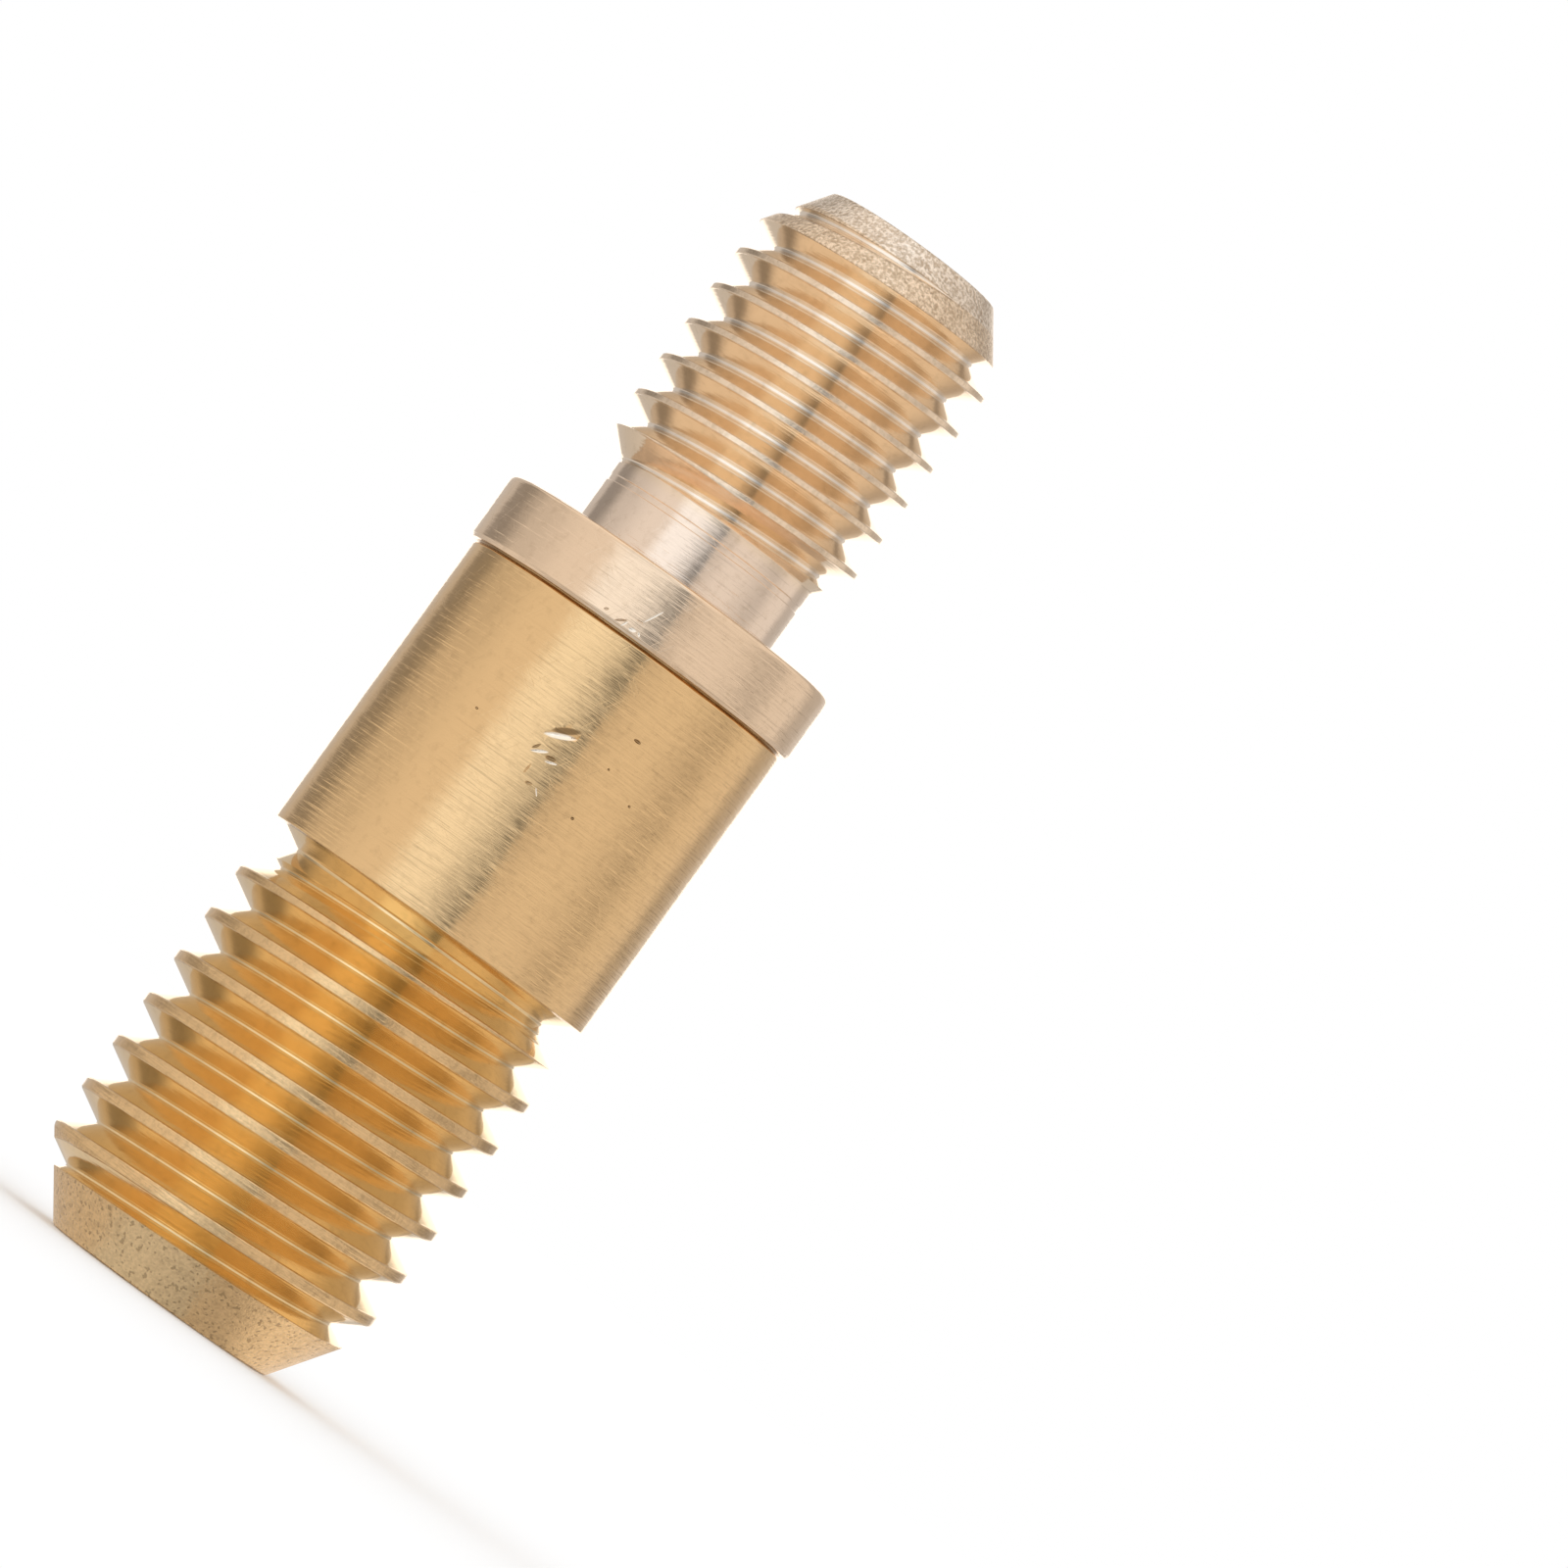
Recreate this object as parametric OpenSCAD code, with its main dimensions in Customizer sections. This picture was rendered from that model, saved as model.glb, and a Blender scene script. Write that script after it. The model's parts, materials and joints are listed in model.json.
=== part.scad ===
// Cue joint screw: one brass turning with a butt thread, a plain barrel, a thin flange and a threaded stud.
// It stands on its butt end: the axis is +Z and the butt end face lies at z = 0, all sizes in millimetres.

/* [Butt thread] */
// Length from the butt end face to the shoulder under the barrel
butt_len = 15.85; // [11:0.05:24]
// Pitch of the butt thread
butt_pitch = 1.8; // [1.3:0.05:2.4]
// Width of the land left on the butt thread's crest
butt_crest = 0.3; // [0.2:0.02:0.5]
// Diameter of the flat face at the butt end
butt_end_d = 8.95; // [7:0.05:10.5]
// Width of the flat ring on the shoulder under the barrel
shoulder_w = 0.35; // [0.2:0.05:0.8]
// How much deeper the run-out ring is cut than the thread
ring_extra = 0.05; // [0.03:0.01:0.2]
// Angle round the axis at which the butt thread runs into the ring
butt_stop_angle = -20; // [-180:5:180]

/* [Barrel] */
// Diameter of the barrel, and of the butt thread that is cut into it
barrel_d = 12.9; // [12.2:0.05:13.2]
// Length of the barrel from the shoulder to the flange
barrel_len = 11.75; // [6:0.05:20]

/* [Flange] */
// How far the flange stands out beyond the barrel
flange_step = 0.25; // [0.2:0.05:1.5]
// Thickness of the flange
flange_t = 2.55; // [1.5:0.05:4]
// Radius of the flange's upper edge
flange_edge_r = 0.28; // [0.1:0.02:0.5]
// Bevel of the flange's lower edge
flange_bevel = 0.16; // [0.06:0.02:0.2]
// Bevel of the barrel's upper edge, which parts it from the flange by a fine V
relief = 0.15; // [0.05:0.01:0.4]

/* [Neck] */
// Diameter of the neck between the flange and the stud thread
neck_d = 8.05; // [7.4:0.05:8.8]
// Length of the neck up to the cone that ends the stud thread
neck_len = 2.6; // [1.8:0.05:5]
// Depth of the fine undercut at the top of the neck
undercut_depth = 0.06; // [0.02:0.01:0.09]
// Width of the fine undercut at the top of the neck
undercut_w = 0.5; // [0.2:0.05:0.8]

/* [Stud] */
// Diameter over the stud thread's crests
stud_d = 9.95; // [9.2:0.05:11]
// Length from the flange's upper face to the stud's end face
stud_len = 14.35; // [10:0.1:30]
// Pitch of the stud thread
stud_pitch = 1.5; // [1:0.05:1.8]
// Width of the land left on the stud thread's crest
stud_crest = 0.17; // [0.12:0.01:0.3]
// Diameter of the flat face at the stud's end
stud_end_d = 6.8; // [5.5:0.05:8]
// Angle round the axis at which the stud thread runs out on the neck
stud_runout_angle = 70; // [-180:5:180]
// Diameter of the pip left by the turning tool on the stud's end face
pip_d = 0.5; // [0.3:0.05:1]
// Height of that pip
pip_h = 0.06; // [0.02:0.01:0.15]

/* [Thread form] */
// Angle between each thread flank and a plane across the axis
flank_angle = 30; // [27:1:32]
// Width of the flat at the bottom of both threads
root_flat = 0.1; // [0.06:0.01:0.2]
// Angle between the cone at each end and the axis
end_cone_angle = 35; // [30:1:50]
// Straight sides of each turn of thread
turn_sides = 48; // [24:4:60]

/* [Hidden] */

$fn = 96;
barrel_r = barrel_d / 2;
flange_r = barrel_r + flange_step;
neck_r = neck_d / 2;
undercut_r = neck_r - undercut_depth;
stud_r = stud_d / 2;

// Depth of a V groove that leaves the given land between two turns
function groove_depth(pitch, crest) = (pitch - crest - root_flat) / 2 / tan(flank_angle);

butt_root_r = barrel_r - groove_depth(butt_pitch, butt_crest);
stud_root_r = stud_r - groove_depth(stud_pitch, stud_crest);
ring_r = butt_root_r - ring_extra;

// Heights of the steps along the axis
flange_z = butt_len + barrel_len;
face_z = flange_z + flange_t;
neck_top_z = face_z + neck_len;
end_z = face_z + stud_len;
butt_cone_h = (barrel_r - butt_end_d / 2) / tan(end_cone_angle);
stud_cone_h = (stud_r - stud_end_d / 2) / tan(end_cone_angle);

// The run-out ring is a V whose upper flank ends at the shoulder's flat ring
shoulder_r = barrel_r - shoulder_w;
ring_z = butt_len - root_flat / 2 - (shoulder_r - ring_r) * tan(flank_angle);
ring_low_z = ring_z - root_flat / 2 - (barrel_r - ring_r) * tan(flank_angle);

// The stud's groove runs this many turns past the cone, and rises out of the neck over the last of them
stud_past_turns = 0.36;
stud_rise_turns = 0.3;
stud_runout_z = neck_top_z - stud_past_turns * stud_pitch;

// The butt thread is cut no higher than this far below the shoulder, which it leaves whole
shoulder_gap = 0.02;

// A groove stands this far proud of the crests, so that half of the land still parts two turns there
function groove_proud(crest) = crest / 4 / tan(flank_angle);

// Straight steps round the flange's upper edge
edge_steps = 6;

// Outline of the turned blank, from the butt end up
blank_outline = concat(
    [[0, 0], [butt_end_d / 2, 0], [barrel_r, butt_cone_h]],
    [[barrel_r, ring_low_z], [ring_r, ring_z - root_flat / 2], [ring_r, ring_z + root_flat / 2]],
    [[shoulder_r, butt_len], [barrel_r, butt_len]],
    [[barrel_r, flange_z - relief], [barrel_r - relief, flange_z]],
    [[flange_r - flange_bevel, flange_z], [flange_r, flange_z + flange_bevel]],
    [for (i = [0 : edge_steps]) let (a = 90 * i / edge_steps)
        [flange_r - flange_edge_r * (1 - cos(a)), face_z - flange_edge_r * (1 - sin(a))]],
    [[neck_r, face_z], [neck_r, neck_top_z - undercut_w - undercut_depth]],
    [[undercut_r, neck_top_z - undercut_w], [undercut_r, neck_top_z]],
    [[stud_r, neck_top_z + stud_r - undercut_r], [stud_r, end_z - stud_cone_h], [stud_end_d / 2, end_z]],
    [[pip_d / 2, end_z], [pip_d / 4, end_z + pip_h], [0, end_z + pip_h]]);

// Four corners of the groove's section at one place along the helix
function groove_corners(angle, z, floor_r, outer_r) =
    let (
        inner = root_flat / 2,
        outer = inner + (outer_r - floor_r) * tan(flank_angle),
        section = [[floor_r, -inner], [outer_r, -outer], [outer_r, outer], [floor_r, inner]])
    [for (p = section) [p[0] * cos(angle), p[0] * sin(angle), z + p[1]]];

// Right-hand V groove wound down round the axis from z_top at angle_top;
// over the last rise_turns its floor comes up from root_r by rise
module helical_groove(z_top, angle_top, turns, pitch, root_r, outer_r, rise = 0, rise_turns = 1) {
    steps = ceil(turns * turn_sides);
    points = [for (i = [0 : steps])
        let (
            turn = turns * i / steps,
            lift = rise * max(0, 1 - (turns - turn) / rise_turns))
        each groove_corners(angle_top - 360 * turn, z_top - pitch * turn, root_r + lift, outer_r + lift)];
    sides = [for (i = [0 : steps - 1], k = [0 : 3])
        let (a = 4 * i + k, b = 4 * i + (k + 1) % 4)
        each [[a, a + 4, b + 4], [a, b + 4, b]]];
    polyhedron(points, concat([[0, 1, 2, 3]], sides, [[for (k = [3 : -1 : 0]) 4 * steps + k]]));
}

// The butt thread is wound from the run-out ring to one turn past the butt end
module butt_groove() {
    turns = ring_z / butt_pitch + 1;
    outer_r = barrel_r + groove_proud(butt_crest);
    below = 3 * butt_pitch;
    intersection() {
        helical_groove(ring_z, butt_stop_angle, turns, butt_pitch, butt_root_r, outer_r);
        translate([0, 0, -below]) cylinder(r = 2 * barrel_r, h = below + butt_len - shoulder_gap);
    }
}

// The stud thread is wound from one turn past the stud's end to its run-out on the neck
module stud_groove() {
    turns = (end_z - stud_runout_z) / stud_pitch + 1;
    outer_r = stud_r + groove_proud(stud_crest);
    rise = max(0, neck_r - stud_root_r) + groove_proud(stud_crest);
    helical_groove(stud_runout_z + turns * stud_pitch, stud_runout_angle + 360 * turns, turns, stud_pitch,
        stud_root_r, outer_r, rise, stud_rise_turns);
}

module joint_screw() {
    color("goldenrod")
    difference() {
        rotate_extrude() polygon(blank_outline);
        butt_groove();
        stud_groove();
    }
}

joint_screw();
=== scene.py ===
import json
import math

import bpy
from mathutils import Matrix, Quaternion, Vector


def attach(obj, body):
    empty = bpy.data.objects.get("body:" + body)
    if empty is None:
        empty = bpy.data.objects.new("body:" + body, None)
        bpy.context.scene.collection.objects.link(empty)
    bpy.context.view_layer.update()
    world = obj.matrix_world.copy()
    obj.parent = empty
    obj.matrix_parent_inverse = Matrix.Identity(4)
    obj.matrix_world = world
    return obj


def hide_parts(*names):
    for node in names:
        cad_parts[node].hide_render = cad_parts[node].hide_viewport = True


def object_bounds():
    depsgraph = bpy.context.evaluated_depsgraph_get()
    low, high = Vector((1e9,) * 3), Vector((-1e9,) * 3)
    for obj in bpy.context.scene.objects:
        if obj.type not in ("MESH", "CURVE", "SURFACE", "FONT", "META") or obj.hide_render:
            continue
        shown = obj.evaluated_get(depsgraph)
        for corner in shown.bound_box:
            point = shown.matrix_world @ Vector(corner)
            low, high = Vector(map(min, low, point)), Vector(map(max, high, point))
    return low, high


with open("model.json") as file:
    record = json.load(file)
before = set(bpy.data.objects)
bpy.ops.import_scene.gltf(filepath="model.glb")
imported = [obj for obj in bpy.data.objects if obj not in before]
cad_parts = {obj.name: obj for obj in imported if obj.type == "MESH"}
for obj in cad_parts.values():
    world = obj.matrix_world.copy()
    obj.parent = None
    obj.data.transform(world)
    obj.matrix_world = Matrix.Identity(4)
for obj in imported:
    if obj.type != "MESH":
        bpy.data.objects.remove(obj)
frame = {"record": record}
cad_low, cad_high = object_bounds()


# Turned blank
# The screw is one piece of brass bar, turned in a lathe: end cone, plain barrel, thin flange, neck and stud.
# A disc is drawn up ring by ring along the outline, in millimetres, and is set to metres when it is finished.
mounts = {mount["name"]: mount for mount in frame["record"]["mounts"]}
barrel_r = mounts["barrel_seat"]["dims"]["r_mm"]
barrel_len = mounts["barrel_seat"]["dims"]["length_mm"]
shoulder_z = mounts["barrel_seat"]["pos_m"][2] * 1000 - barrel_len / 2
relief = 0.15
flange_z = shoulder_z + barrel_len + relief
face_z = mounts["joint_face"]["pos_m"][2] * 1000
flange_r = cad_high.x * 1000
pip_h = 0.06
end_z = cad_high.z * 1000 - pip_h
butt_end_r = 4.475
butt_cone_h = 2.82
ring_r = 5.19
ring_z = shoulder_z - 0.577
ring_floor = 0.1
ring_bend_r = 5.6
shoulder_r = 6.1
flange_bevel = 0.16
neck_r = 4.025
undercut_r = 3.985
undercut_z = face_z + 1.74
undercut_w = 0.28
neck_top_z = face_z + 2.6
stud_r = 4.975
stud_end_r = 3.4
stud_cone_h = 2.25
pip_r = 0.25
sides = 256
edge_steps = 5
barrel_row = 0.4

# Radius, height and edge rounding of each corner, from the butt end up
corners = [
    (butt_end_r, 0, 0.07),
    (barrel_r, butt_cone_h, 0.1),
    (barrel_r, ring_z - 1.1, 0.02),
    (ring_bend_r, ring_z - 0.62, 0.05),
    (ring_r, ring_z - ring_floor / 2, 0.03),
    (ring_r, ring_z + ring_floor / 2, 0.03),
    (shoulder_r, shoulder_z, 0.04),
    (barrel_r, shoulder_z, 0.05),
    (barrel_r, flange_z - relief, 0.06),
    (barrel_r - relief, flange_z - 0.06, 0.02),
    (barrel_r - relief, flange_z, 0.01),
    (flange_r - 0.1, flange_z, 0.02),
    (flange_r, flange_z + flange_bevel, 0.03),
    (flange_r, face_z, 0.28),
    (neck_r, face_z, 0.08),
    (neck_r, undercut_z, 0.01),
    (undercut_r, undercut_z + 0.03, 0.01),
    (undercut_r, undercut_z + undercut_w - 0.05, 0.01),
    (neck_r - 0.01, undercut_z + undercut_w, 0.01),
    (neck_r - 0.01, neck_top_z, 0.02),
    (stud_r, neck_top_z + stud_r - neck_r + 0.01, 0.06),
    (stud_r, end_z - stud_cone_h, 0.1),
    (stud_end_r, end_z, 0.07),
    (pip_r, end_z, 0.03),
    (pip_r / 2, end_z + pip_h, 0.02),
]


def rounded(corners):
    """Turns corners into an outline in which each corner is a short arc, starting and ending on the axis."""
    low = Vector((0, corners[0][1]))
    high = Vector((0, corners[-1][1]))
    places = [low] + [Vector(corner[:2]) for corner in corners] + [high]
    outline = []
    for before, here, after, corner in zip(places, places[1:], places[2:], corners):
        start = here + (before - here).normalized() * corner[2]
        finish = here + (after - here).normalized() * corner[2]
        for step in range(edge_steps + 1):
            along = step / edge_steps
            outline.append(start.lerp(here, along).lerp(here.lerp(finish, along), along))
    return outline


# Plain rings along the barrel keep the faces short where knocks are cut into it
outline = []
for point in rounded(corners):
    last = outline[-1] if outline else point
    if point.y - last.y > 5 and last.y > ring_z and point.y < face_z:
        rows = math.ceil((point.y - last.y) / barrel_row)
        outline += [last.lerp(point, row / rows) for row in range(1, rows)]
    outline.append(point)

bpy.ops.object.select_all(action="DESELECT")
bpy.ops.mesh.primitive_circle_add(
    vertices=sides, radius=outline[0].x, fill_type="NGON", location=(0, 0, outline[0].y))
screw = bpy.context.object
screw.name = "turned_screw"
bpy.ops.object.transform_apply(location=True)
bpy.ops.object.mode_set(mode="EDIT")
bpy.ops.mesh.select_all(action="SELECT")
for below, ring in zip(outline, outline[1:]):
    bpy.ops.mesh.extrude_region_move(TRANSFORM_OT_translate={"value": (0, 0, ring.y - below.y)})
    wider = ring.x / below.x
    bpy.ops.transform.resize(value=(wider, wider, 1), center_override=(0, 0, 0))
bpy.ops.mesh.select_all(action="SELECT")
bpy.ops.mesh.normals_make_consistent(inside=False)
bpy.ops.object.mode_set(mode="OBJECT")


# Butt thread
# A coarse right-hand thread is cut into the bar with a pointed tool, from the butt end to a run-out ring.
# The feed slows over the last turns, so the groove closes up on the ring and the land thins to an edge.
flank = math.tan(math.radians(30))
turn_steps = 180
butt_pitch = 1.8
butt_land = 0.38
butt_edge = 0.05
butt_root_flat = 0.08
butt_root_r = ring_r + 0.11
butt_proud = 0.08
butt_slow_turns = 1.5
butt_end_angle = -110


def groove_section(root_r, root_flat, crest_r, half_width, edge, proud):
    """One V groove in section, radius and height: a rounded root, two flanks and a break at each crest."""
    upper = [
        (root_r, root_flat * 0.35),
        (root_r + root_flat * 0.12, root_flat * 0.6),
        (root_r + root_flat * 0.36, root_flat * 0.8),
        (crest_r - edge, half_width - edge * flank),
        (crest_r, half_width + edge * 0.7),
        (crest_r + proud, half_width + edge * 0.7),
    ]
    return upper + [(radius, -height) for radius, height in reversed(upper)]


def wind(name, section, low_z, low_angle, turns, pitch):
    """Winds a section up a right-hand helix from its low end and closes both ends."""
    bpy.ops.object.select_all(action="DESELECT")
    bpy.ops.mesh.primitive_circle_add(vertices=len(section))
    cutter = bpy.context.object
    cutter.name = name
    for corner, (radius, height) in zip(cutter.data.vertices, section):
        corner.co = (radius * math.cos(low_angle), radius * math.sin(low_angle), low_z + height)
    winding = cutter.modifiers.new("winding", "SCREW")
    winding.angle = math.tau * turns
    winding.screw_offset = pitch * turns
    winding.steps = round(turn_steps * turns)
    winding.render_steps = winding.steps
    bpy.ops.object.modifier_apply(modifier=winding.name)
    bpy.ops.object.mode_set(mode="EDIT")
    bpy.ops.mesh.select_all(action="SELECT")
    bpy.ops.mesh.fill_holes(sides=0)
    bpy.ops.mesh.select_all(action="SELECT")
    bpy.ops.mesh.normals_make_consistent(inside=False)
    bpy.ops.object.mode_set(mode="OBJECT")
    return cutter


def cut(cutter):
    """Takes a cutter's shape out of the screw and throws the cutter away."""
    bpy.ops.object.select_all(action="DESELECT")
    bpy.context.view_layer.objects.active = screw
    screw.select_set(True)
    taking = screw.modifiers.new("cut", "BOOLEAN")
    taking.operation = "DIFFERENCE"
    taking.solver = "MANIFOLD"
    taking.object = cutter
    bpy.ops.object.modifier_apply(modifier=taking.name)
    bpy.data.objects.remove(cutter)


butt_top_z = ring_z + butt_pitch * butt_slow_turns / 2
butt_turns = math.ceil(butt_top_z / butt_pitch) + 1
butt_half_width = (butt_pitch - butt_land) / 2
butt_section = groove_section(butt_root_r, butt_root_flat, barrel_r, butt_half_width, butt_edge, butt_proud)

# The last turns close up on one another, so they are cut in three runs; the shoulder above stays whole
for first_turn, last_turn in ((butt_turns, 1.3), (1.35, 0.5), (0.55, 0)):
    butt_cutter = wind(
        "butt_cutter", butt_section, butt_top_z - butt_pitch * first_turn,
        math.radians(butt_end_angle - 360 * first_turn), first_turn - last_turn, butt_pitch)
    for number, corner in enumerate(butt_cutter.data.vertices):
        turns_left = first_turn - (number // len(butt_section)) / turn_steps
        slowed = max(0, butt_slow_turns - turns_left)
        slowed_z = corner.co.z - butt_pitch * slowed ** 2 / 2 / butt_slow_turns
        corner.co.z = min(slowed_z, shoulder_z - 0.02)
    cut(butt_cutter)


# Stud thread
# A finer right-hand thread runs from the stud's end cone down to the neck, where the tool lifts out.
# Its crests are narrow, and the groove passes through the cone at the end.
stud_pitch = 1.5
stud_land = 0.2
stud_edge = 0.025
stud_root_r = 3.965
stud_root_flat = 0.12
stud_proud = 0.05
stud_past_turns = 0.36
stud_low_z = neck_top_z - stud_past_turns * stud_pitch
stud_low_angle = 70
stud_lift_turns = 0.3
stud_lift = neck_r - stud_root_r + 0.08
stud_turns = math.ceil((end_z - stud_low_z) / stud_pitch) + 1
stud_half_width = (stud_pitch - stud_land) / 2
stud_section = groove_section(stud_root_r, stud_root_flat, stud_r, stud_half_width, stud_edge, stud_proud)
stud_cutter = wind(
    "stud_cutter", stud_section, stud_low_z, math.radians(stud_low_angle), stud_turns, stud_pitch)
for number, corner in enumerate(stud_cutter.data.vertices):
    turns_up = number // len(stud_section) / turn_steps
    radius = math.hypot(corner.co.x, corner.co.y)
    wider = 1 + stud_lift * max(0, 1 - turns_up / stud_lift_turns) / radius
    corner.co.x *= wider
    corner.co.y *= wider
cut(stud_cutter)


# Knocks and scratches
# The barrel was nicked by a hard edge and rubbed below it; the flange is scratched and bruised.
# The nick is a wedge, given by its corners: place across, height and depth under the surface.
nick_corners = [
    (-0.56, 23.37, -0.02),
    (0.01, 23.99, -0.03),
    (0.58, 24.04, -0.03),
    (-0.49, 23.31, 0.02),
    (0.56, 23.82, 0.1),
    (-0.53, 23.19, -0.02),
    (0.56, 23.61, -0.04),
]
bpy.ops.object.select_all(action="DESELECT")
bpy.ops.mesh.primitive_circle_add(vertices=len(nick_corners))
nick = bpy.context.object
for corner, (across, height, deep) in zip(nick.data.vertices, nick_corners):
    corner.co = (across, deep - math.sqrt(barrel_r ** 2 - across ** 2), height)
bpy.ops.object.mode_set(mode="EDIT")
bpy.ops.mesh.select_all(action="SELECT")
bpy.ops.mesh.convex_hull()
bpy.ops.mesh.select_all(action="SELECT")
bpy.ops.mesh.normals_make_consistent(inside=False)
bpy.ops.object.mode_set(mode="OBJECT")
cut(nick)

# The other marks are oval dents: place across and up, length, width, depth and lean to the right.
# The last number is the share of painted shade in the dent, or below 0 the share of painted highlight.
barrel_marks = [
    (-0.26, 22.69, 0.66, 0.15, 0.03, 28, -0.8),
    (0.28, 22.59, 0.5, 0.11, 0.025, 18, -0.8),
    (0.11, 22.99, 0.8, 0.07, 0.012, 0, 0.45),
    (0.12, 23.14, 0.7, 0.06, 0.01, 0, 0.35),
    (0.2, 22.71, 0.46, 0.15, 0.05, 12, 0.7),
    (-0.45, 22.77, 0.36, 0.1, 0.03, 55, 0.65),
    (-0.26, 21.98, 0.42, 0.07, 0.03, 85, 0.2),
    (0.07, 21.6, 0.3, 0.12, 0.03, 15, 0.5),
    (0.46, 21.5, 0.34, 0.07, 0.02, -50, -0.8),
    (2.24, 24.9, 0.3, 0.12, 0.06, 0, 0.65),
    (2, 23.56, 0.1, 0.08, 0.04, 0, 0.6),
    (3.29, 22.97, 0.12, 0.1, 0.04, 0, 0.6),
    (1.97, 21.5, 0.13, 0.11, 0.05, 0, 0.6),
    (-2.85, 22.66, 0.14, 0.09, 0.04, 0, 0.5),
]
flange_marks = [
    (0.23, 28.62, 0.85, 0.09, 0.016, 63, -1),
    (-0.05, 28.22, 0.26, 0.05, 0.02, 5, 0),
    (-1.24, 27.92, 0.2, 0.1, 0.03, 30, 0.3),
    (-0.61, 27.89, 0.5, 0.08, 0.04, 33, 0.4),
    (-0.44, 27.86, 0.3, 0.1, 0.016, 60, -0.8),
    (-0.11, 27.84, 0.34, 0.16, 0.022, 10, -0.8),
    (0.16, 27.84, 0.2, 0.1, 0.016, -40, -0.8),
]
for surface_r, marks in ((barrel_r, barrel_marks), (flange_r, flange_marks)):
    for across, height, length, width, depth, lean, share in marks:
        turn = math.asin(across / surface_r)
        reach = surface_r + depth * 0.4
        bpy.ops.object.select_all(action="DESELECT")
        bpy.ops.mesh.primitive_uv_sphere_add(
            segments=24, ring_count=12, radius=1,
            location=(reach * math.sin(turn), -reach * math.cos(turn), height),
            rotation=(0, math.radians(-lean), turn), scale=(length / 2, depth * 1.4, width / 2))
        cut(bpy.context.object)


# Finished body
# The cut blank keeps its turned edges crisp: wide faces are shaded as they lie and small breaks blend.
# It is set to metres last, at the place of the CAD solid.
bpy.ops.object.select_all(action="DESELECT")
bpy.context.view_layer.objects.active = screw
screw.select_set(True)
bpy.ops.object.shade_smooth_by_angle(angle=math.radians(25))
shading = screw.modifiers.new("shading", "WEIGHTED_NORMAL")
shading.keep_sharp = True
shading.weight = 75
shading.thresh = 0.001
bpy.ops.object.modifier_apply(modifier=shading.name)
screw.scale = (0.001, 0.001, 0.001)
bpy.ops.object.transform_apply(scale=True)


# Turned brass
# The bar keeps fine turning lines all round, with the even marks of the lathe's feed among them.
# The flange, neck and stud are paler than the barrel and the butt, and the thread flanks are smooth.
class Wire:
    """A shader socket that takes part in sums: each operator adds one Math node to its tree."""

    def __init__(self, tree, socket=None):
        self.tree = tree
        self.socket = socket

    def make(self, kind, settings, values, output=0):
        made = self.tree.nodes.new(kind)
        for name, setting in settings.items():
            setattr(made, name, setting)
        for name, value in values.items():
            if isinstance(value, Wire):
                self.tree.links.new(value.socket, made.inputs[name])
            else:
                made.inputs[name].default_value = value
        return Wire(self.tree, made.outputs[output])

    def math(self, operation, first, second=0.0):
        return self.make("ShaderNodeMath", {"operation": operation}, {0: first, 1: second})

    def __add__(self, other):
        return self.math("ADD", self, other)

    def __radd__(self, other):
        return self.math("ADD", other, self)

    def __sub__(self, other):
        return self.math("SUBTRACT", self, other)

    def __rsub__(self, other):
        return self.math("SUBTRACT", other, self)

    def __mul__(self, other):
        return self.math("MULTIPLY", self, other)

    def __rmul__(self, other):
        return self.math("MULTIPLY", other, self)

    def ramp(self, start, finish):
        """0 below start and 1 above finish, with a soft step between them."""
        limits = {"Value": self, "From Min": start, "From Max": finish}
        return self.make("ShaderNodeMapRange", {"interpolation_type": "SMOOTHSTEP"}, limits)

    def clamped(self):
        return self.math("MINIMUM", self.math("MAXIMUM", self, 0.0), 1.0)

    def colour(self, first, second):
        """The first colour where this value is 0 and the second where it is 1."""
        return self.make("ShaderNodeMix", {"data_type": "RGBA"}, {0: self, 6: first, 7: second}, 2)


brass = bpy.data.materials.new("turned_brass")
brass.use_nodes = True
tree = brass.node_tree
shader = tree.nodes["Principled BSDF"]
start = Wire(tree)
place = start.make("ShaderNodeTexCoord", {}, {}, "Object")
place = start.make("ShaderNodeVectorMath", {"operation": "SCALE"}, {0: place, "Scale": 1000.0})
split = start.make("ShaderNodeSeparateXYZ", {}, {0: place}).socket.node
x, y, z = [Wire(tree, socket) for socket in split.outputs]
radius = start.math("SQRT", x * x + y * y)


def noise(vector, size, detail=2.0, rough=0.5):
    """Plain noise, from 0 to 1."""
    values = {"Vector": vector, "Scale": size, "Detail": detail, "Roughness": rough}
    return start.make("ShaderNodeTexNoise", {}, values, 0)


# Turning lines follow the outline, so they are rings on the barrel and circles on the flat faces
lathe = start.make("ShaderNodeCombineXYZ", {}, {0: x * 0.25, 1: y * 0.25, 2: (z + radius) * 6})
lines = noise(lathe, 1.0, 3.0, 0.6)
feed = start.math("SINE", (z + radius) * 36)
patches = noise(place, 0.7, 2.0)
grain = noise(place, 2.6, 3.0, 0.6)
sand = noise(place, 8.0, 2.0, 0.6).ramp(0.32, 0.68)
grit = noise(place, 6.0, 1.0)

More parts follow.
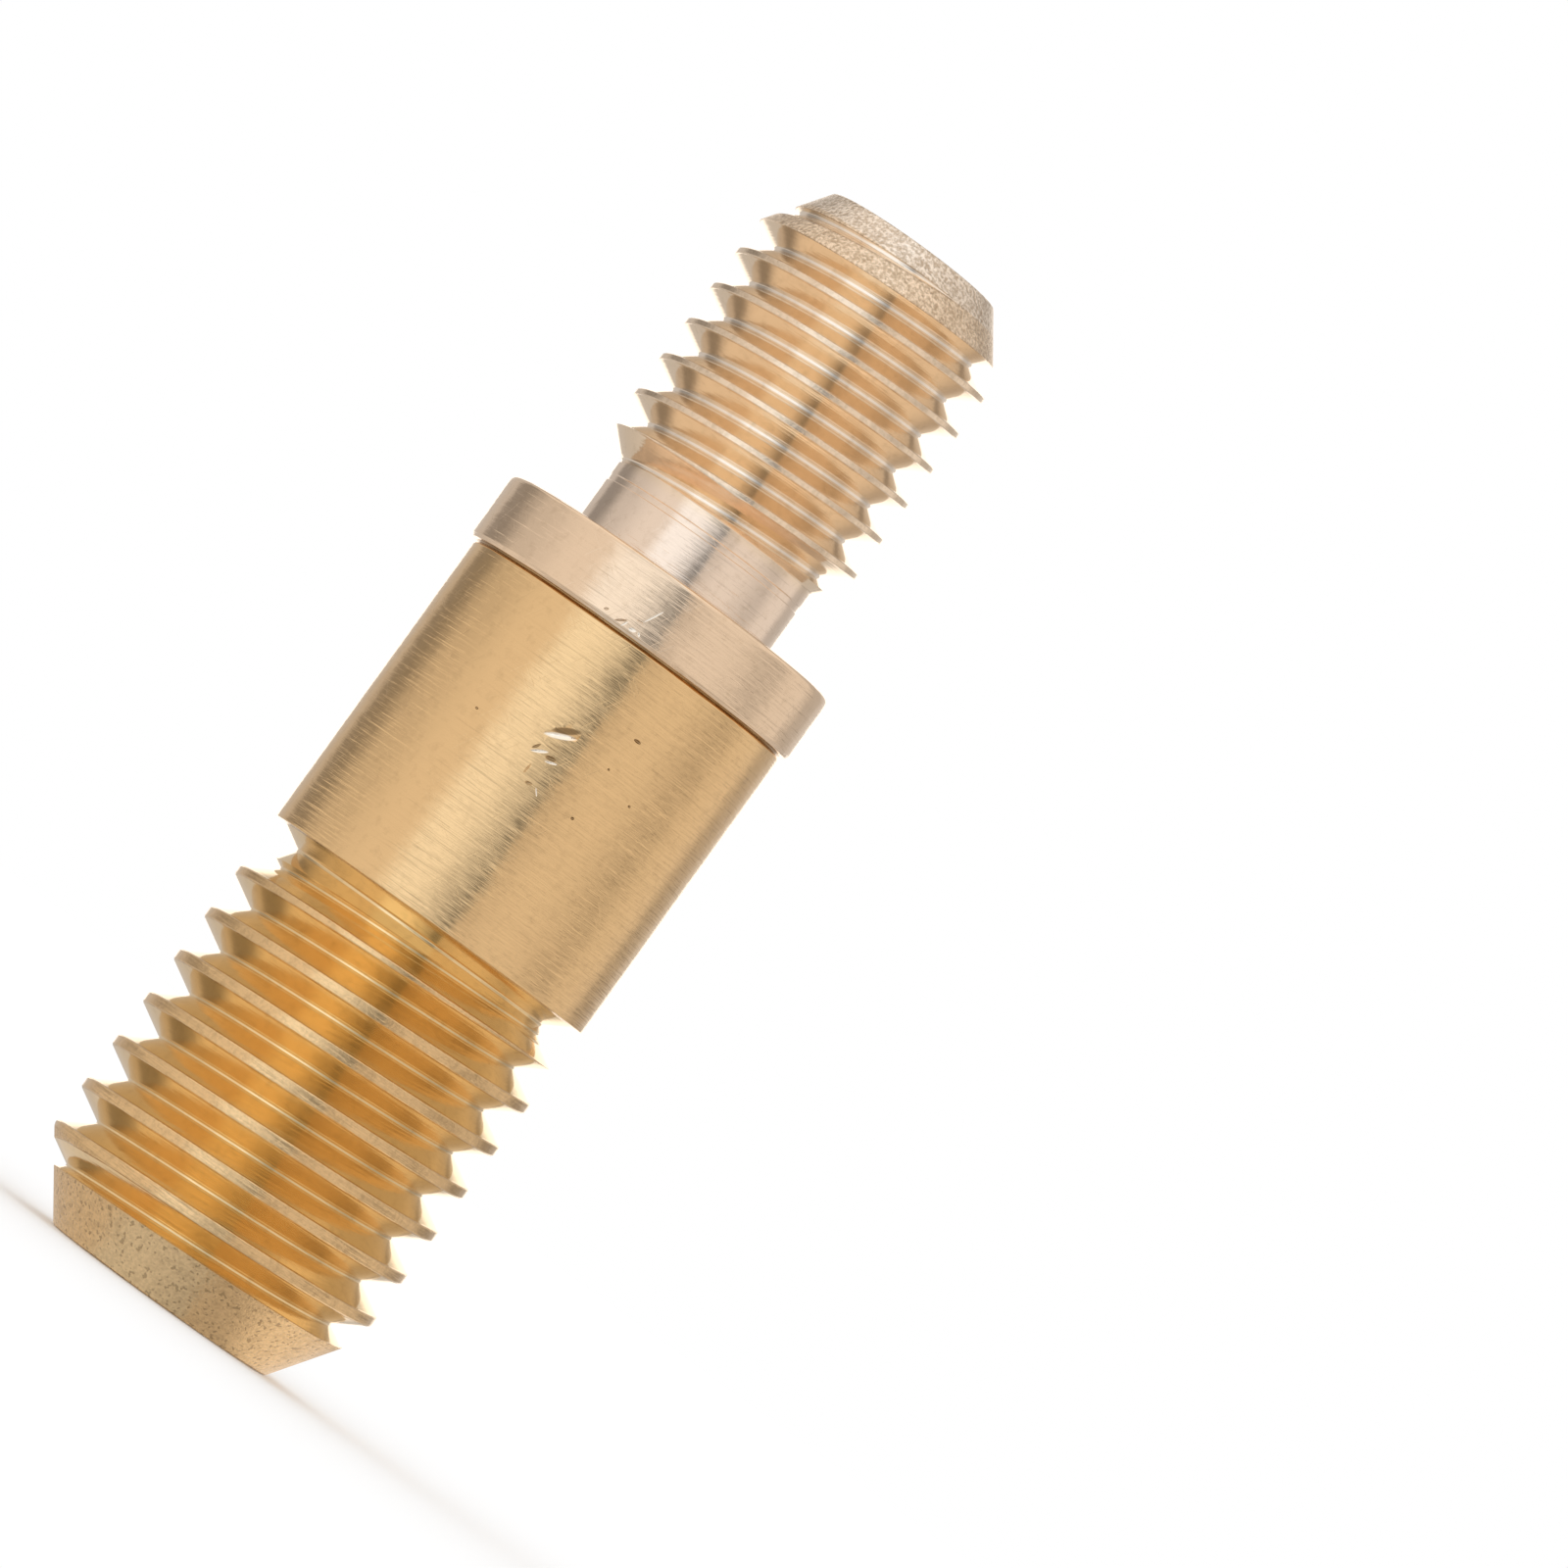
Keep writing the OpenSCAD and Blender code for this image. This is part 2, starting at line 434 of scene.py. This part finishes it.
# The cones at both ends are sandy, the crests are torn by the tool and the flanks are smooth
cone_slope = (barrel_r - butt_end_r) / butt_cone_h
below_cone_edge = 1 - z.ramp(butt_cone_h - 0.07, butt_cone_h + 0.03)
on_butt_cone = below_cone_edge * (radius - cone_slope * z).ramp(butt_end_r - 0.06, butt_end_r - 0.03)
stud_cone_z = end_z - stud_cone_h
stud_cone_r = stud_end_r + cone_slope * end_z
above_cone_edge = z.ramp(stud_cone_z - 0.05, stud_cone_z + 0.03)
on_stud_cone = above_cone_edge * (radius + cone_slope * z).ramp(stud_cone_r - 0.06, stud_cone_r - 0.03)
on_cone = start.math("MAXIMUM", on_butt_cone, on_stud_cone)
below_shoulder = 1 - z.ramp(shoulder_z - 0.04, shoulder_z - 0.01)
above_neck = z.ramp(neck_top_z, neck_top_z + 0.05)
on_butt_crest = below_shoulder * radius.ramp(barrel_r - 0.07, barrel_r - 0.03)
on_crest = on_butt_crest + above_neck * radius.ramp(stud_r - 0.075, stud_r - 0.035)
on_land = on_crest * (1 - on_cone)
on_flank = (below_shoulder + above_neck) * (1 - on_crest) * (1 - on_cone)
on_neck = z.ramp(face_z, face_z + 0.02) - above_neck
on_stud_root = above_neck * (1 - radius.ramp(stud_root_r + 0.02, stud_root_r + 0.06))
pitted = grit.ramp(0.6, 0.68) * on_butt_cone

# Painted shade darkens the nick's upper wall, some of the dents and the fine groove under the flange, where
# shade falls; a painted highlight lightens the nick's lower wall and some scratches
nick_walls = [(0.1, 23.78, 1.1, 0.26, 0, 29, 0.7), (0.02, 23.51, 1.2, 0.24, 0, 24, -1)]
# Painted shade: a dark line in the fine groove under the flange
painted_shade = z.ramp(flange_z - 0.08, flange_z - 0.06) * (1 - z.ramp(flange_z + 0.01, flange_z + 0.03))
painted_shade = painted_shade * (1 - radius.ramp(barrel_r - 0.05, barrel_r - 0.01)) * 0.5
painted_highlight = 0
for across, height, length, width, depth, lean, share in nick_walls + barrel_marks + flange_marks:
    lean_x = math.cos(math.radians(lean))
    lean_z = math.sin(math.radians(lean))
    along = ((x - across) * lean_x + (z - height) * lean_z) * (2 / length)
    above = ((z - height) * lean_x - (x - across) * lean_z) * (2 / width)
    spot = (1 - (along * along + above * above).ramp(0.4, 1.1)) * (1 - y.ramp(-1, 0)) * abs(share)
    # Marks with a share above 0 get painted shade and marks below 0 get a painted highlight
    if share > 0:
        painted_shade = start.math("MAXIMUM", painted_shade, spot)
    else:
        painted_highlight = start.math("MAXIMUM", painted_highlight, spot)

barrel_colour = (0.83, 0.585, 0.315, 1)
flange_colour = (0.87, 0.69, 0.515, 1)
neck_colour = (0.89, 0.755, 0.64, 1)
stud_colour = (0.89, 0.74, 0.58, 1)
butt_flank_colour = (0.885, 0.676, 0.385, 1)
stud_flank_colour = (0.895, 0.747, 0.575, 1)
# Painted highlight: the stud's thread roots are painted paler so that their lines read bright
root_highlight_colour = (0.93, 0.84, 0.74, 1)
pit_colour = (0.3, 0.2, 0.1, 1)
# Painted shade colour, for the recesses where shade falls
shade_colour = (0.13, 0.075, 0.03, 1)
# Painted highlight colour, for the mark walls that face the light
highlight_colour = (0.98, 0.92, 0.82, 1)
colour = z.ramp(flange_z - 0.02, flange_z + 0.02).colour(barrel_colour, flange_colour)
colour = z.ramp(face_z - 0.05, face_z + 0.05).colour(colour, neck_colour)
colour = z.ramp(neck_top_z - 0.4, neck_top_z + 0.1).colour(colour, stud_colour)
colour = (on_flank * below_shoulder).colour(colour, butt_flank_colour)
colour = (on_flank * above_neck).colour(colour, stud_flank_colour)
# Painted highlight along the stud's thread roots
colour = on_stud_root.colour(colour, root_highlight_colour)
speckled = (1 - sand) * (on_stud_cone * 0.6 + on_butt_cone * 0.24 + on_land * 0.16) + (0.47 - grain) * 0.7
speckled = start.math("MAXIMUM", speckled, pitted * 0.6)
colour = speckled.clamped().colour(colour, pit_colour)
# Painted highlight on the nick's lower wall and on the scratches that catch the light
colour = painted_highlight.colour(colour, highlight_colour)
# Painted shade in the groove under the flange, the nick's upper wall and the dents
colour = painted_shade.colour(colour, shade_colour)
tree.links.new(colour.socket, shader.inputs["Base Color"])
shader.inputs["Metallic"].default_value = 1
rough = 0.07 + 0.05 * patches + 0.16 * on_cone + 0.04 * on_land + 0.2 * painted_shade
tree.links.new(rough.socket, shader.inputs["Roughness"])

# Fine scratches lie at two slants on the plain turned faces
arc = start.math("ARCTAN2", x, 0 - y) * radius
scratches = 0
for slant in (58, -35):
    slant_x = math.cos(math.radians(slant))
    slant_z = math.sin(math.radians(slant))
    run = start.make(
        "ShaderNodeCombineXYZ", {},
        {0: (arc * slant_x + z * slant_z) * 0.8, 1: (z * slant_x - arc * slant_z) * 14, 2: slant * 1.0})
    scratches = noise(run, 1.0, 0.0).ramp(0.74, 0.82) + scratches

# Height in thousandths of a millimetre
turned = lines * (26 + 46 * patches) + feed * (0.4 + 1.6 * patches)
turned = turned * (1 - 0.9 * on_flank - 0.7 * on_land - 0.4 * on_neck) + grain * 2.5 * (1 - on_flank)
height = turned - scratches * 2 * (1 - on_flank) + sand * (on_cone * 14 + on_land * 1.5) - pitted * 14
bump = start.make("ShaderNodeBump", {}, {"Strength": 1.0, "Distance": 1e-6, "Height": height})
tree.links.new(bump.socket, shader.inputs["Normal"])

screw.data.materials.clear()
screw.data.materials.append(brass)
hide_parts("joint_screw")
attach(screw, "root")


# Studio floor
# A white sheet lies under the screw; it is lit by the white room about it and keeps the screw's shadow.
bpy.ops.object.select_all(action="DESELECT")
bpy.ops.mesh.primitive_plane_add(size=4)
floor = bpy.context.object
floor.name = "studio_floor"
floor.location.z = -0.00002
white_sheet = bpy.data.materials.new("white_sheet")
white_sheet.use_nodes = True
sheet = white_sheet.node_tree.nodes["Principled BSDF"]
sheet.inputs["Base Color"].default_value = (0.9, 0.9, 0.9, 1)
sheet.inputs["Roughness"].default_value = 1
sheet.inputs["Specular IOR Level"].default_value = 0
sheet.inputs["Emission Color"].default_value = (1, 1, 1, 1)
sheet.inputs["Emission Strength"].default_value = 0.12
floor.data.materials.append(white_sheet)

room = bpy.data.worlds.new("white_room")
room.use_nodes = True
room.node_tree.nodes["Background"].inputs["Color"].default_value = (1, 1, 1, 1)
room.node_tree.nodes["Background"].inputs["Strength"].default_value = 1
bpy.context.scene.world = room


# Light tent
# A closed cloth tent stands about the screw and shows only in its reflections.
# Its left front is lit, the sides are dimmer and warmer, and a dark slit lies about the lens.
tent_r = 0.12
tent_h = 0.24
bpy.ops.object.select_all(action="DESELECT")
bpy.ops.mesh.primitive_cylinder_add(
    vertices=96, radius=tent_r, depth=tent_h, end_fill_type="NGON", location=(0, 0, tent_h / 2 + 0.00005))
tent = bpy.context.object
tent.name = "light_tent"
bpy.ops.object.transform_apply(location=True)
tent.visible_camera = False
tent.visible_diffuse = False
tent.visible_shadow = False
cloth = bpy.data.materials.new("tent_cloth")
cloth.use_nodes = True
cloth_tree = cloth.node_tree
cloth_tree.nodes.clear()
begin = Wire(cloth_tree)
cloth_place = begin.make("ShaderNodeTexCoord", {}, {}, "Object")
cloth_axes = begin.make("ShaderNodeSeparateXYZ", {}, {0: cloth_place}).socket.node
across, deep, up = [Wire(cloth_tree, socket) for socket in cloth_axes.outputs]
bearing = begin.math("ARCTAN2", across, 0 - deep) * (180 / math.pi)

# Brightness by bearing from the lens, in degrees to the right; the slit's left edge leans over as it rises
rise = begin.math("MINIMUM", begin.math("MAXIMUM", up - 0.026, 0.0), 0.016)
below_lens = up.ramp(0.013, 0.018) * (1 - up.ramp(0.02, 0.026))
leaned = bearing - 40800 * rise * rise + 5 * below_lens - 3 * (1 - up.ramp(0.011, 0.015))

# The left side has a dim band, then the lit front, the slit about the lens and the dimmer right side
dip = 0.12 + 0.15 * up.ramp(0.011, 0.016)
left_light = 0.25 + 0.35 * bearing.ramp(-177, -167) - dip * bearing.ramp(-143, -131)
left_light = left_light + (dip + 0.07) * bearing.ramp(-121, -94) + 0.22 * bearing.ramp(-94, -55)
lit = bearing.ramp(-46, -30)
past_key = leaned.ramp(-17, -6)
by_neck = up.ramp(0.0365, 0.038)
deepest = 0.1 + 0.14 * up.ramp(0.013, 0.02) - 0.08 * by_neck
slit = 0.14 * past_key + 0.24 * leaned.ramp(-8, 5) + deepest * bearing.ramp(1, 10)
right_light = 0.2 - 0.18 * bearing.ramp(14, 36) + 0.23 * bearing.ramp(48, 84) - 0.2 * bearing.ramp(84, 104)
right_light = right_light + 0.28 * bearing.ramp(118, 132) - 0.14 * bearing.ramp(142, 156)
right_light = right_light + 0.18 * (1 - up.ramp(0.012, 0.022))
past_slit = bearing.ramp(12.5, 16)
key = 0.25 - 0.06 * by_neck
glow = left_light + key * lit * (1 - past_key) - slit * (1 - past_slit) - right_light * past_slit

# The upper wall and the roof are bright, and the wall straight behind the screw is white
back = begin.math("ABSOLUTE", bearing).ramp(100, 150)
glow = glow + (0.92 - 0.38 * back - glow) * up.ramp(0.065, 0.09)
roof = 1.1 - 0.27 * bearing.ramp(40, 95) - 0.25 * back
glow = glow + (roof - glow) * up.ramp(0.14, 0.2)
behind = begin.math("ABSOLUTE", bearing).ramp(162, 167) * (1 - up.ramp(0.1, 0.14))
glow = glow + (1.5 - glow) * behind

# The ground is dimmer close about the screw
ground = 0.7 - 0.15 * bearing.ramp(-15, 15) + 0.46 * bearing.ramp(30, 62)
reach = begin.math("SQRT", across * across + deep * deep)
ground = ground + (0.6 - ground) * reach.ramp(0.009, 0.014) + 0.25 * reach.ramp(0.026, 0.045) * (1 - back)
ground = ground + 0.8 * bearing.ramp(158, 166)
glow = ground + (glow - ground) * up.ramp(0.0001, 0.004)
warm = (lit * (1 - past_slit)).colour((1, 0.91, 0.82, 1), (1, 1, 1, 1))
lamp = begin.make("ShaderNodeEmission", {}, {"Color": warm, "Strength": glow})
result = cloth_tree.nodes.new("ShaderNodeOutputMaterial")
cloth_tree.links.new(lamp.socket, result.inputs["Surface"])
tent.data.materials.append(cloth)


# Camera
# A long lens looks at the screw from low in front, rolled so that the stud leans over to the right.
# One millimetre in the middle of the picture is 29.6 pixels of 1600.
aim = Vector((0.0071, 0, 0.02693))
camera_data = bpy.data.cameras.new("camera")
camera = bpy.data.objects.new("camera", camera_data)
bpy.context.scene.collection.objects.link(camera)
camera.location = (0.0071, -0.34, 0.0104)
sight = aim - camera.location
camera.rotation_mode = "QUATERNION"
camera.rotation_quaternion = sight.to_track_quat("-Z", "Y") @ Quaternion((0, 0, 1), math.radians(35.7))
frame_width = 1600 / 29600
camera_data.lens = camera_data.sensor_width * sight.length / frame_width
camera_data.clip_start = 0.005
bpy.context.scene.camera = camera
bpy.context.scene.view_settings.view_transform = "Standard"

bpy.context.view_layer.update()
